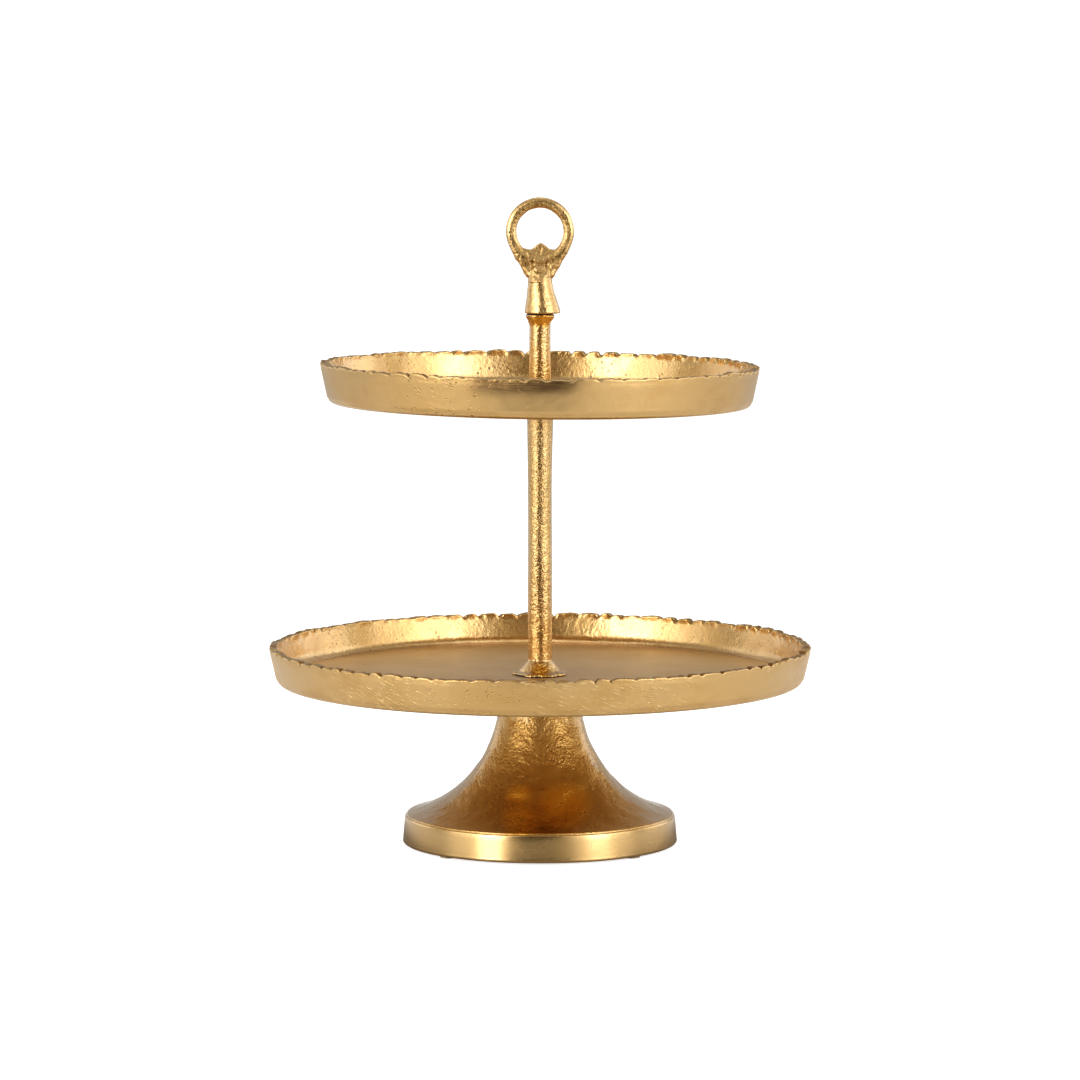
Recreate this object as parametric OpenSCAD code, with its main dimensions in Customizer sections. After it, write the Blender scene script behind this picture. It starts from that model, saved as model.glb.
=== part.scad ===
// Two-tier cake stand: six rough castings with a gold finish, screwed together on
// one axis. A hollow flared foot carries the lower tray, a tall post, the upper
// tray, a short post and a ring handle. M6 threads join them, and soft washers
// protect the trays. Threads are drawn as plain shanks at their major diameter.
// Origin: centre of the stand, on the table. +Z is up, the ring lies in the XZ plane.

/* [Trays] */
// Outer diameter of the lower tray at its rim
lower_tray_d = 310; // [260:5:340]
// Outer diameter of the upper tray at its rim
upper_tray_d = 250; // [180:5:255]
// Height of the lower tray's wall, from its underside to the rim
lower_wall_h = 20.6; // [16:0.2:30]
// Height of the upper tray's wall, from its underside to the rim
upper_wall_h = 22.5; // [16:0.5:30]
// How much wider the wall is at the rim than at its foot, on the radius
wall_lean = 4.2; // [1:0.2:8]
// Thickness of a tray's wall
wall_t = 4.2; // [3:0.2:6]
// Thickness of a tray's floor
floor_t = 3.6; // [3:0.2:6]

/* [Foot] */
// Outer diameter of the foot at the table
foot_d = 157.4; // [140:0.2:180]
// Height of the smooth band round the foot
band_h = 15.5; // [10:0.5:20]
// Height of the foot casting, from the table side to the tray's seat
foot_h = 92.4; // [88:0.2:100]
// Radius of the neck where the flare is narrowest
neck_r = 23.4; // [20:0.2:26]
// Thickness of the foot's shell
shell_t = 4.5; // [3:0.5:6]

/* [Posts] */
// Radius of the tall post over its plain middle
post_r = 6.9; // [6.5:0.1:9]
// Radius of the flare where a post stands on a tray
post_flare_r = 16.2; // [13:0.2:20]
// Clear height between the lower tray's floor and the upper tray's underside
tier_gap = 155.4; // [120:1:200]
// Radius of the short post
short_post_r = 6.1; // [6:0.1:8]
// Height of the short post, from its washer to the handle's washer
short_post_h = 46.3; // [36:1:70]

/* [Handle] */
// Outer radius of the handle's ring
ring_outer_r = 19.4; // [17:0.2:24]
// Thickness of the ring
ring_t = 6.1; // [5:0.1:7]
// Height of the ring's centre above the handle's lower face
ring_rise = 46.3; // [44:0.5:52]
// Radius of the bell at the bottom of the handle
bell_r = 10.3; // [9:0.1:13]

/* [Fasteners and pads] */
// Thread diameter of the bolt and the studs
thread_d = 6; // [5:1:6]
// Thickness of a soft washer
soft_t = 0.8; // [0.5:0.1:1.5]
// Length of thread that each screwed joint holds
grip = 10; // [9.75:0.25:12]
// Thickness of the felt pads
felt_t = 1; // [0.8:0.1:2]

/* [Hidden] */
$fn = 96;

GOLD = [0.80, 0.61, 0.33];
STEEL = [0.62, 0.62, 0.64];
SOFT = [0.10, 0.09, 0.08];
FELT = [0.16, 0.13, 0.11];

// Threads and holes
thread_r = thread_d / 2;
tapped_r = thread_r + 0.05;     // running clearance on the shank
clear_r = thread_r + 0.4;       // drilled through a tray, the foot or a washer
blind_extra = 3;                // drilled past the end of the shank

// Heights of the stack, from the table up
foot_z = felt_t;
lower_tray_z = foot_z + foot_h;
lower_floor_z = lower_tray_z + floor_t;
lower_post_z = lower_floor_z + soft_t;
upper_tray_z = lower_floor_z + tier_gap;
upper_floor_z = upper_tray_z + floor_t;
upper_post_z = upper_floor_z + soft_t;
cup_z = upper_post_z + short_post_h;
handle_z = cup_z + soft_t;
ring_z = handle_z + ring_rise;

// Foot
foot_r = foot_d / 2;
band_draft = 1.3;               // the band leans in by this much at its top
flare_run = 68.2;               // half axes of the flare's elliptical arc
flare_rise = 70.2;
flare_c = neck_r + flare_run;   // centre of that arc
flare_cz = 84.9;
rim_w = 11;                     // width of the ring that stands on the table
crown_t = 9;                    // metal above the hollow, under the tray
bolt_seat_r = 11;               // boss that the base washer bears on
bolt_seat_h = 3;

// Fasteners
hex_af = 10;
hex_h = 4;
base_washer_r = 9;
base_washer_t = 1.6;
spring_washer_r = 5.9;
spring_washer_t = 1.6;
spring_split = 1.2;
bolt_seat_z = foot_z + foot_h - crown_t - bolt_seat_h;
pad_r = 4.6;
pad_count = 4;

// Points on an elliptical or circular arc
function arc(cx, cy, rx, ry, from, to, steps) =
    [for (i = [0:steps]) let (a = from + (to - from) * i / steps)
        [cx + rx * cos(a), cy + ry * sin(a)]];

// Radius of the foot's flare at a height above its lower face, with the arc grown by t
function flare(z, t = 0) =
    flare_c - (flare_run + t) * sqrt(1 - pow((flare_cz - z) / (flare_rise + t), 2));

// Tapered tray with a rounded foot, a fillet inside and a bevelled rim
module tray(rim_r, height) {
    base_r = rim_r - wall_lean;
    corner = 2.5;               // rounding under the wall
    fillet = 7;                 // rounding between floor and wall
    lip = 0.8;                  // bevel of the rim
    slope = wall_lean / height;
    inner_base_r = base_r - wall_t + slope * floor_t;
    difference() {
        rotate_extrude()
            polygon(concat(
                [[0, 0]],
                arc(base_r - corner, corner, corner, corner, -90, 0, 5),
                [[rim_r, height - lip], [rim_r - lip, height],
                 [rim_r - wall_t + lip, height], [rim_r - wall_t, height - lip]],
                arc(inner_base_r - fillet, floor_t + fillet, fillet, fillet, 0, -90, 6),
                [[0, floor_t]]
            ));
        translate([0, 0, -1]) cylinder(r = clear_r, h = floor_t + 2);
    }
}

// Foot: flared shell, hollow below, with a smooth band and a crown for the bolt
module foot() {
    land = 1.5;                 // rounding at the band's top edge
    steps = 18;
    top_z = foot_h;
    arc_end = 16.4;             // height where the flare meets the band's land
    inner_r = foot_r - rim_w;
    hollow_top = foot_h - crown_t;
    hollow_z = 15;              // height where the hollow leaves the straight rim
    color(GOLD)
    translate([0, 0, foot_z])
    difference() {
        rotate_extrude()
            polygon(concat(
                [[0, 0], [foot_r - 0.6, 0], [foot_r, 0.6],
                 [foot_r - band_draft, band_h - land],
                 [foot_r - band_draft - land, band_h]],
                [for (i = [0:steps]) let (z = arc_end + (flare_cz - arc_end) * pow(i / steps, 1.6))
                    [min(flare(z), foot_r - band_draft - land - 0.4), z]],
                [[neck_r + 0.3, top_z], [0, top_z]]
            ));
        rotate_extrude()
            polygon(concat(
                [[0, -1], [inner_r, -1], [inner_r, 6]],
                [for (i = [0:steps]) let (z = hollow_z + (hollow_top - hollow_z) * pow(i / steps, 1.6))
                    [min(flare(z, shell_t), inner_r), z]],
                [[bolt_seat_r, hollow_top], [bolt_seat_r, hollow_top - bolt_seat_h],
                 [0, hollow_top - bolt_seat_h]]
            ));
        cylinder(r = clear_r, h = foot_h + 1);
    }
}

// Four felt discs under the foot's rim
module felt_pads() {
    color(FELT)
    for (i = [0:pad_count - 1])
        rotate([0, 0, 45 + i * 360 / pad_count])
            translate([foot_r - rim_w / 2, 0, 0])
                cylinder(r = pad_r, h = felt_t, $fn = 48);
}

// Hexagon bolt, driven up from inside the foot into the tall post
module base_bolt() {
    head_z = bolt_seat_z - base_washer_t - spring_washer_t - hex_h;
    tip_z = lower_post_z + grip;
    color(STEEL) {
        translate([0, 0, head_z]) cylinder(r = hex_af / 2 / cos(30), h = hex_h, $fn = 6);
        translate([0, 0, head_z]) cylinder(r = thread_r, h = tip_z - head_z);
    }
}

// Split ring under the bolt's head
module spring_washer() {
    color(STEEL)
    translate([0, 0, bolt_seat_z - base_washer_t - spring_washer_t])
    difference() {
        cylinder(r = spring_washer_r, h = spring_washer_t);
        translate([0, 0, -1]) cylinder(r = thread_r + 0.15, h = spring_washer_t + 2);
        translate([0, -spring_split / 2, -1])
            cube([spring_washer_r + 1, spring_split, spring_washer_t + 2]);
    }
}

// Flat washer between the spring washer and the foot's crown
module base_washer() {
    color(STEEL)
    translate([0, 0, bolt_seat_z - base_washer_t])
        ring_washer(base_washer_r, clear_r, base_washer_t);
}

module ring_washer(outer, inner, t) {
    difference() {
        cylinder(r = outer, h = t);
        translate([0, 0, -1]) cylinder(r = inner, h = t + 2);
    }
}

module lower_tray() {
    color(GOLD) translate([0, 0, lower_tray_z]) tray(lower_tray_d / 2, lower_wall_h);
}

module upper_tray() {
    color(GOLD) translate([0, 0, upper_tray_z]) tray(upper_tray_d / 2, upper_wall_h);
}

// Soft washers between a tray and the post on it
module lower_tray_washer() {
    color(SOFT) translate([0, 0, lower_floor_z])
        ring_washer(post_flare_r - 1.6, clear_r, soft_t);
}

module upper_tray_washer() {
    color(SOFT) translate([0, 0, upper_floor_z])
        ring_washer(post_flare_r - 2.6, clear_r, soft_t);
}

// Flare at the bottom of a post: outline from its edge up to the plain shank
function post_flare(edge_r, shank_r, height) = concat(
    [[edge_r, 0], [edge_r, 0.5]],
    arc(edge_r, height + 0.5, edge_r - shank_r, height, 255, 180, 6)
);

// Tall post: flared where it stands on the tray, and widening into a shoulder
module lower_post() {
    height = upper_tray_z - lower_post_z;
    shoulder_r = 10.5;
    swell_r = 7.5;
    color(GOLD)
    translate([0, 0, lower_post_z])
    difference() {
        rotate_extrude()
            polygon(concat(
                [[0, 0]],
                post_flare(post_flare_r, post_r, 5.5),
                [[post_r, height * 0.7], [swell_r, height - 9], [swell_r + 0.7, height - 5],
                 [shoulder_r, height - 1.2], [shoulder_r, height], [0, height]]
            ));
        translate([0, 0, -1]) cylinder(r = tapped_r, h = grip + blind_extra + 1);
        translate([0, 0, height - grip - blind_extra])
            cylinder(r = tapped_r, h = grip + blind_extra + 1);
    }
}

// Short post: flared at the tray and cupped under the handle's bell
module upper_post() {
    cup_r = 8.4;
    cup_h = 5.6;
    color(GOLD)
    translate([0, 0, upper_post_z])
    difference() {
        rotate_extrude()
            polygon(concat(
                [[0, 0]],
                post_flare(post_flare_r - 1, short_post_r + 0.4, 5),
                [[short_post_r, short_post_h * 0.6], [short_post_r, short_post_h - cup_h - 1]],
                arc(short_post_r - 0.2, short_post_h - 0.4, cup_r - short_post_r + 0.2, cup_h, -75, 0, 6),
                [[cup_r - 0.3, short_post_h], [0, short_post_h]]
            ));
        translate([0, 0, -1]) cylinder(r = thread_r, h = grip + 1);
        translate([0, 0, short_post_h - grip - blind_extra])
            cylinder(r = tapped_r, h = grip + blind_extra + 1);
    }
}

// Stud fixed in the short post, passing through the upper tray into the tall post
module middle_stud() {
    color(STEEL)
    translate([0, 0, upper_tray_z - grip])
        cylinder(r = thread_r, h = upper_post_z + grip - upper_tray_z + grip - 0.2);
}

// Washer between the short post's cup and the bell
module handle_washer() {
    color(SOFT) translate([0, 0, cup_z]) ring_washer(7.4, clear_r, soft_t);
}

// Outline of the web between the bell's neck and the ring, in the ring's plane. Its
// upper edge has a peak in the middle, between two notches.
module web_outline(neck, neck_h) {
    flank = [[neck, neck_h - 3], [neck, neck_h + 1], [8.6, neck_h + 5.9],
             [11.8, neck_h + 10.4], [15, neck_h + 15], [17, neck_h + 18.5]];
    notch = [[14.5, ring_rise - 6.3], [7.9, ring_rise - 10.4], [3.4, ring_rise - 9.4]];
    half = concat(flank, notch);
    last = len(half) - 1;
    polygon(concat(
        half,
        [[0, ring_rise - 6.4]],
        [for (i = [last:-1:0]) [-half[i][0], half[i][1]]]
    ));
}

// Handle: ring, torn web and bell in one casting, tapped for its stud
module handle() {
    neck = 6.4;
    web_t = 5.2;
    bell_h = 20;
    ring_r = ring_outer_r - ring_t / 2;
    color(GOLD)
    translate([0, 0, handle_z])
    difference() {
        union() {
            rotate_extrude()
                polygon(concat(
                    [[0, 0], [bell_r, 0], [bell_r, 1.6]],
                    arc(neck + 12, bell_h + 2, 12, bell_h + 4, 222, 180, 7),
                    [[neck - 1.6, bell_h + 4], [0, bell_h + 5]]
                ));
            rotate([90, 0, 0]) translate([0, 0, -web_t / 2])
                linear_extrude(height = web_t) web_outline(neck, bell_h);
            translate([0, 0, ring_rise]) rotate([90, 0, 0])
                rotate_extrude() translate([ring_r, 0]) circle(r = ring_t / 2, $fn = 48);
        }
        translate([0, 0, -1]) cylinder(r = thread_r, h = grip + 1);
    }
}

// Stud fixed in the handle, screwed into the short post
module handle_stud() {
    color(STEEL)
    translate([0, 0, cup_z - grip])
        cylinder(r = thread_r, h = grip + soft_t + grip - 0.2);
}

foot();
felt_pads();
base_bolt();
spring_washer();
base_washer();
lower_tray();
lower_tray_washer();
lower_post();
upper_tray();
upper_tray_washer();
upper_post();
middle_stud();
handle_washer();
handle();
handle_stud();
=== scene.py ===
# A two-tier cake stand: six rough castings with a gold finish, screwed together on one
# upright axis. The sections below follow it as it is put together, from the table up.
import bisect
import math
import random

import bmesh
import bpy
from mathutils import Matrix, Vector, noise


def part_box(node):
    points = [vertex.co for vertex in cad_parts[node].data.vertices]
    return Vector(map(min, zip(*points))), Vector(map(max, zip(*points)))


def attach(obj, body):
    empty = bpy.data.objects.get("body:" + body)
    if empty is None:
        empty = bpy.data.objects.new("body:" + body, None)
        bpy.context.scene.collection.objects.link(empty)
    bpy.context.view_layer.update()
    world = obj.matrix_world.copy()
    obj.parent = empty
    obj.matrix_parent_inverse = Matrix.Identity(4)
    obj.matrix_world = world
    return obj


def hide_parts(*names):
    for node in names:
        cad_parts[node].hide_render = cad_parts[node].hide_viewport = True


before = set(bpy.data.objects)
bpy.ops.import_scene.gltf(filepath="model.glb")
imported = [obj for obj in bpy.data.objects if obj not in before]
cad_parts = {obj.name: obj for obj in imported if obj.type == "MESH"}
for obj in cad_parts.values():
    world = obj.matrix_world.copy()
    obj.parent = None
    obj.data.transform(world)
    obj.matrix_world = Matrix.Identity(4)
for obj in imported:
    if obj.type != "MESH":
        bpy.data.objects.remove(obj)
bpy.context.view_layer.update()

# ---------------------------------------------------------------- camera
# A long lens, a little above the upper tray, looking slightly down on the stand.

CAMERA_BACK = 2.6565
CAMERA_UP = 0.4495
CAMERA_TILT = math.radians(5.913)
camera_data = bpy.data.cameras.new("camera")
camera_data.sensor_width = 36
camera_data.lens = 155.98
camera_data.clip_end = 60
camera = bpy.data.objects.new("camera", camera_data)
camera.location = (0, -CAMERA_BACK, CAMERA_UP)
camera.rotation_euler = (math.pi / 2 - CAMERA_TILT, 0, 0)
bpy.context.scene.collection.objects.link(camera)
bpy.context.scene.camera = camera

# ---------------------------------------------------------------- foot
# The foot is a hollow trumpet of cast aluminium with a boss inside for the bolt. Its
# flare keeps the skin of the sand mould, and the band at the table is turned smooth.

MM = 0.001               # sizes are in millimetres, and meshes in metres


class Shade:
    """A number or a colour on its way through a finish; sums on it add Math nodes."""

    def __init__(self, finish, socket):
        self.finish = finish
        self.socket = socket

    def maths(self, operation, first, second):
        settings = {"operation": operation}
        return self.finish.node("ShaderNodeMath", settings, {0: first, 1: second})

    def __add__(self, other):
        return self.maths("ADD", self, other)

    def __radd__(self, other):
        return self.maths("ADD", other, self)

    def __sub__(self, other):
        return self.maths("SUBTRACT", self, other)

    def __rsub__(self, other):
        return self.maths("SUBTRACT", other, self)

    def __mul__(self, other):
        return self.maths("MULTIPLY", self, other)

    def __rmul__(self, other):
        return self.maths("MULTIPLY", other, self)

    def __truediv__(self, other):
        return self.maths("DIVIDE", self, other)

    def step(self, low, high):
        """0 below low and 1 above high, with a smooth rise between."""
        settings = {"interpolation_type": "SMOOTHSTEP"}
        sockets = {"Value": self, "From Min": low, "From Max": high}
        return self.finish.node("ShaderNodeMapRange", settings, sockets)

    def bigger(self, other):
        return self.maths("MAXIMUM", self, other)

    def near(self, centre, half):
        """1 close to a value, falling to 0 at half a width on either side of it."""
        offset = self - centre
        return 1 - offset.bigger(0 - offset).step(half * 0.55, half)


class Finish:
    """One material, to which nodes are added as they are needed."""

    def __init__(self, name, owner=None):
        self.material = owner or bpy.data.materials.new(name)
        self.material.use_nodes = True
        self.tree = self.material.node_tree
        self.tree.nodes.clear()

    def node(self, kind, settings, sockets, out=0):
        added = self.tree.nodes.new(kind)
        for key, value in settings.items():
            setattr(added, key, value)
        for key, value in sockets.items():
            if isinstance(value, Shade):
                self.tree.links.new(value.socket, added.inputs[key])
            else:
                added.inputs[key].default_value = value
        return Shade(self, added.outputs[out]) if len(added.outputs) else None

    def place(self):
        return self.node("ShaderNodeTexCoord", {}, {}, out=3)

    def split(self, vector):
        """The x, y and z of a vector."""
        first = self.node("ShaderNodeSeparateXYZ", {}, {"Vector": vector})
        return [Shade(self, socket) for socket in first.socket.node.outputs]

    def mapped(self, vector, scale=(1, 1, 1), turn=(0, 0, 0), shift=(0, 0, 0)):
        sockets = {"Vector": vector, "Scale": scale, "Rotation": turn, "Location": shift}
        return self.node("ShaderNodeMapping", {}, sockets)

    def grain(self, vector, size, detail=3.0, rough=0.55):
        """Soft noise from about 0.3 to 0.7, whose lumps are size metres across."""
        sockets = {"Vector": vector, "Scale": 1 / size, "Detail": detail, "Roughness": rough}
        return self.node("ShaderNodeTexNoise", {}, sockets)

    def spots(self, vector, size):
        """Distance to the nearest of scattered points, size metres apart, from 0 to about 0.8."""
        sockets = {"Vector": vector, "Scale": 1 / size}
        return self.node("ShaderNodeTexVoronoi", {"feature": "F1"}, sockets)

    def mix(self, factor, low, high):
        settings = {"data_type": "RGBA"}
        return self.node("ShaderNodeMix", settings, {0: factor, 6: low, 7: high}, out=2)

    def bump(self, height, depth):
        """Normals of a surface raised by height times depth metres."""
        sockets = {"Height": height, "Distance": depth, "Strength": 1.0}
        return self.node("ShaderNodeBump", {}, sockets)

    def metal(self, colour, rough, normal, constants):
        """Joins a Principled shader to the output and gives the material back."""
        sockets = {"Base Color": colour, "Roughness": rough, "Normal": normal}
        shader = self.node("ShaderNodeBsdfPrincipled", {}, {**sockets, **constants})
        self.node("ShaderNodeOutputMaterial", {}, {"Surface": shader})
        return self.material


HIGHLIGHT_GOLD = (0.88, 0.64, 0.33, 1)
GOLD = (0.655, 0.435, 0.185, 1)
DEEP_GOLD = (0.55, 0.34, 0.115, 1)
GLOW_AMBER = (0.95, 0.52, 0.05, 1)
SHADE_AND_STAIN = (0.20, 0.105, 0.035, 1)
FOOT_GOLD = (0.57, 0.345, 0.11, 1)
PLATED = {"Metallic": 1.0, "Coat Weight": 0.8, "Coat Roughness": 0.14}
SATIN = {"Metallic": 1.0, "Coat Weight": 0.5, "Coat Roughness": 0.38}


def cast_gold(name, pebble, depth, pit, rough_low, rough_high, torn=False, glows=(), gold=GOLD):
    """The skin that a sand mould leaves: pebbles, wrinkles, pits in clusters and stains.

    pebble and pit are sizes in metres, and depth is the pebbles' height. With marks set, the
    mesh's layer of marks darkens the skin: painted shade in notches and sinks, and plain darkening
    elsewhere. glows lists (across, up, half width) of places on the front given an amber glow, a
    painted reflection."""
    skin = Finish(name)
    place = skin.place()
    pebbles = skin.grain(place, pebble, detail=3.0, rough=0.6)
    swells = skin.grain(place, pebble * 5, detail=2.0)
    clusters = skin.grain(skin.mapped(place, shift=(0.3, 0.1, 0.7)), 0.022).step(0.46, 0.60)
    wrinkles = skin.grain(place, pebble * 2.2, detail=2.0).near(0.5, 0.035) * clusters
    pits = (1 - skin.spots(place, pit).step(0.06, 0.30)) * clusters
    cloud = skin.grain(skin.mapped(place, shift=(0.9, 0.4, 0.2)), 0.03, detail=4.0)
    colour = skin.mix(cloud.step(0.3, 0.75) * 0.7, gold, DEEP_GOLD)
    # amber glows painted on the front where asked: a painted reflection
    for across, up, wide in glows:
        x, y, z = skin.split(place)
        aside, above = (x - across) / wide, (z - up) / (wide * 0.75)
        patch = (1 - (aside * aside + above * above).step(0.0, 1.0)) * (1 - y.step(-0.005, 0.0))
        colour = skin.mix(patch * 0.65, colour, GLOW_AMBER)
    colour = skin.mix(pits * 0.5, colour, SHADE_AND_STAIN)
    rough = rough_low + (rough_high - rough_low) * cloud.step(0.35, 0.65) + pits * 0.12
    coat = {}
    # the layer of marks darkens the skin: painted shade in notches and sinks, and plain darkening
    # elsewhere
    if torn:
        crevice = skin.node("ShaderNodeAttribute", {"attribute_name": "torn"}, {}, out=2)
        colour = skin.mix(crevice, colour, SHADE_AND_STAIN)
        rough = rough + 0.12 * crevice
        coat = {"Coat Weight": 0.8 - 0.8 * crevice.step(0.0, 0.25)}
    height = pebbles + swells * 1.2 + wrinkles * 0.10 - pits * 0.5
    normal = skin.bump(height, depth)
    return skin.metal(colour, rough, normal, {**PLATED, **coat})


def turned_gold(name, rough_low, rough_high, line_depth):
    """Metal turned smooth, with fine level lines from the tool and faint stains."""
    turned = Finish(name)
    place = turned.place()
    lines = turned.grain(turned.mapped(place, scale=(1, 1, 40)), 0.016, detail=5.0, rough=0.7)
    cloud = turned.grain(turned.mapped(place, scale=(1, 1, 2)), 0.028, detail=4.0)
    colour = turned.mix(cloud.step(0.5, 0.75) * 0.35, GOLD, DEEP_GOLD)
    rough = rough_low + (rough_high - rough_low) * cloud.step(0.3, 0.7) + lines * 0.08
    normal = turned.bump(lines, line_depth)
    return turned.metal(colour, rough, normal, PLATED)


def arc(centre, radii, start, end, steps):
    """Points (radius, height) on an arc about centre, from one angle in degrees to another."""
    points = []
    for i in range(steps + 1):
        angle = math.radians(start + (end - start) * i / steps)
        r = centre[0] + radii[0] * math.cos(angle)
        points.append((r, centre[1] + radii[1] * math.sin(angle)))
    return points


def line(start, end, steps):
    """Points from start up to but not including end."""
    return [tuple(a + (b - a) * i / steps for a, b in zip(start, end)) for i in range(steps)]


def turn_on_lathe(outline, steps):
    """A closed solid of revolution about Z, from (radius, height) points in millimetres."""
    solid = bmesh.new()
    rows = [solid.verts.new((r * MM, 0, z * MM)) for r, z in outline]
    edges = [solid.edges.new((a, b)) for a, b in zip(rows, rows[1:] + rows[:1])]
    bmesh.ops.spin(
        solid, geom=rows + edges, cent=(0, 0, 0), axis=(0, 0, 1), angle=2 * math.pi,
        steps=steps, use_merge=True,
    )
    bmesh.ops.remove_doubles(solid, verts=solid.verts, dist=1e-6)
    bmesh.ops.recalc_face_normals(solid, faces=solid.faces)
    return solid


def ease(value, low, high):
    """0 below low and 1 above high, with a smooth rise between; low may be the larger."""
    share = min(1.0, max(0.0, (value - low) / (high - low)))
    return share * share * (3 - 2 * share)


def lumps(point, size, seed):
    """Smooth noise from about -1 to 1, with lumps size millimetres across."""
    return noise.noise(point / (size * MM) + Vector((seed, seed * 1.7, -seed)))


def finished(name, solid, materials, body, nodes):
    """Makes a bmesh an object, smooth shaded, that rides on its body and stands for its nodes."""
    for face in solid.faces:
        face.smooth = True
    mesh = bpy.data.meshes.new(name)
    solid.to_mesh(mesh)
    solid.free()
    for material in materials:
        mesh.materials.append(material)
    piece = bpy.data.objects.new(name, mesh)
    bpy.context.scene.collection.objects.link(piece)
    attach(piece, body)
    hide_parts(*nodes)
    return piece


foot_low, foot_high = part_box("foot")
foot_base = foot_low.z / MM
foot_r = (foot_high.x - foot_low.x) / 2 / MM
foot_tall = (foot_high.z - foot_low.z) / MM

BAND_TALL = 15.5         # the smooth band at the table
BAND_DRAFT = 1.3
NECK_Z = 84.9            # height of the narrowest place, above the foot's underside
NECK_R = 23.4
FLARE_WIDE = 68.2        # half axes of the elliptical arc between neck and band
FLARE_TALL = 70.2
FOOT_WALL = 4.5
FOOT_RIM = 11            # width of the ring that stands on the pads
FOOT_CROWN = 9           # metal over the hollow
BOSS_R, BOSS_TALL = 11, 3
BOLT_HOLE_R = 3.4


def flare_radius(height, wall=0.0):
    """Radius of the flare at a height, or of the hollow inside a wall of some thickness."""
    up = (NECK_Z - height) / (FLARE_TALL + wall)
    return NECK_R + FLARE_WIDE - (FLARE_WIDE + wall) * math.sqrt(max(0.0, 1 - up * up))


def foot_outline():
    """The foot's section, from the table's edge up the flare, and down inside the hollow."""
    band_r = foot_r - BAND_DRAFT
    flare_foot = BAND_TALL + 0.9
    hollow_r = foot_r - FOOT_RIM
    hollow_top = foot_tall - FOOT_CROWN
    points = [(hollow_r + 0.8, 0)] + line((hollow_r + 4, 0), (foot_r - 0.8, 0), 2)
    points += arc((foot_r - 0.8, 0.8), (0.8, 0.8), -90, 0, 4)
    points += line((foot_r - 0.1, 1.6), (band_r + 0.1, BAND_TALL - 1.6), 10)
    points += arc((band_r - 1.0, BAND_TALL - 1.0), (1.0, 1.0), 0, 80, 5)
    points.append((flare_radius(flare_foot) + 0.1, BAND_TALL + 0.15))
    rise = NECK_Z - flare_foot
    for i in range(92):
        height = flare_foot + 0.2 + rise * (i / 91) ** 1.45
        points.append((flare_radius(height), height))
    points += [(NECK_R + 0.1, foot_tall - 2), (NECK_R + 0.2, foot_tall)]
    points += [(BOLT_HOLE_R, foot_tall), (BOLT_HOLE_R, hollow_top - BOSS_TALL)]
    points += [(BOSS_R - 0.5, hollow_top - BOSS_TALL), (BOSS_R, hollow_top - BOSS_TALL + 0.5)]
    points.append((BOSS_R + 0.6, hollow_top))
    for i in range(26):
        height = hollow_top - 1.5 - (hollow_top - BAND_TALL) * (1 - (1 - i / 25) ** 1.6)
        points.append((min(hollow_r, flare_radius(max(height, 16), FOOT_WALL)), height))
    points += [(hollow_r, 6), (hollow_r, 1)]
    return [(r, z + foot_base) for r, z in points]


foot_shape = turn_on_lathe(foot_outline(), steps=400)
# sinks and a bump on the front of the flare: (across, up, width, height, depth)
SINKS = [(-12, 31, 5.5, 2.2, 0.9), (14, 27, 8, 6, 0.9), (2, 35, 3, 1.6, -0.5), (-48, 24, 6, 3, 0.5)]
for vert in foot_shape.verts:
    place = vert.co.copy()
    r, z = place.xy.length / MM, place.z / MM - foot_base
    outward = Vector((place.x, place.y, 0)).normalized()
    outside = r > flare_radius(max(z, 16.2)) - 1.5
    if outside and z > BAND_TALL:
        rough = ease(z, BAND_TALL + 0.6, BAND_TALL + 4) * ease(z, foot_tall, foot_tall - 4)
        skin = 0.30 * lumps(place, 11, 3) + 0.13 * lumps(place, 4.2, 5)
        skin += 0.06 * lumps(place, 2.1, 7) * (0.4 + 0.55 * ease(z, 42, 64))
        for across, up, wide, tall, deep in SINKS:
            if place.y < 0:
                share = ((place.x / MM - across) / wide) ** 2 + ((z - up) / tall) ** 2
                skin -= deep * math.exp(-share)
        lean = Vector((outward.x, outward.y, 1.0 if z < 45 else 0.3)).normalized()
        vert.co += lean * (skin * rough * MM)
    elif outside:
        wave = 0.10 * lumps(place, 45, 11) + 0.03 * lumps(place, 14, 12)
        vert.co += outward * (wave * ease(z, 0, 2) * MM)
    elif z > 1.5 and r > BOSS_R + 1:
        vert.co += outward * (0.25 * lumps(place, 6, 13) * MM)

# amber glows painted on the front of the flare, a painted reflection, in metres: (across, up, half
# width)
PAINTED_FLARE_GLOWS = [(-0.012, 0.034, 0.009), (0.014, 0.029, 0.018), (-0.011, 0.022, 0.013)]
# the foot is given a darker gold than the other castings
skin_gold = cast_gold(
    "skin_gold", pebble=0.0016, depth=0.00040, pit=0.0034, rough_low=0.20, rough_high=0.28,
    glows=PAINTED_FLARE_GLOWS, gold=FOOT_GOLD,
)
band_gold = turned_gold("band_gold", rough_low=0.16, rough_high=0.26, line_depth=0.00002)
for face in foot_shape.faces:
    centre = face.calc_center_median()
    on_band = centre.xy.length / MM > foot_r - 2.7 and centre.z / MM - foot_base < BAND_TALL + 0.1
    face.material_index = 1 if on_band else 0
finished("stand_foot", foot_shape, [skin_gold, band_gold], "foot", ["foot"])

# ---------------------------------------------------------------- felt pads
# Four discs of pressed felt are glued under the foot's rim, so that it doesn't scratch.


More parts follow.
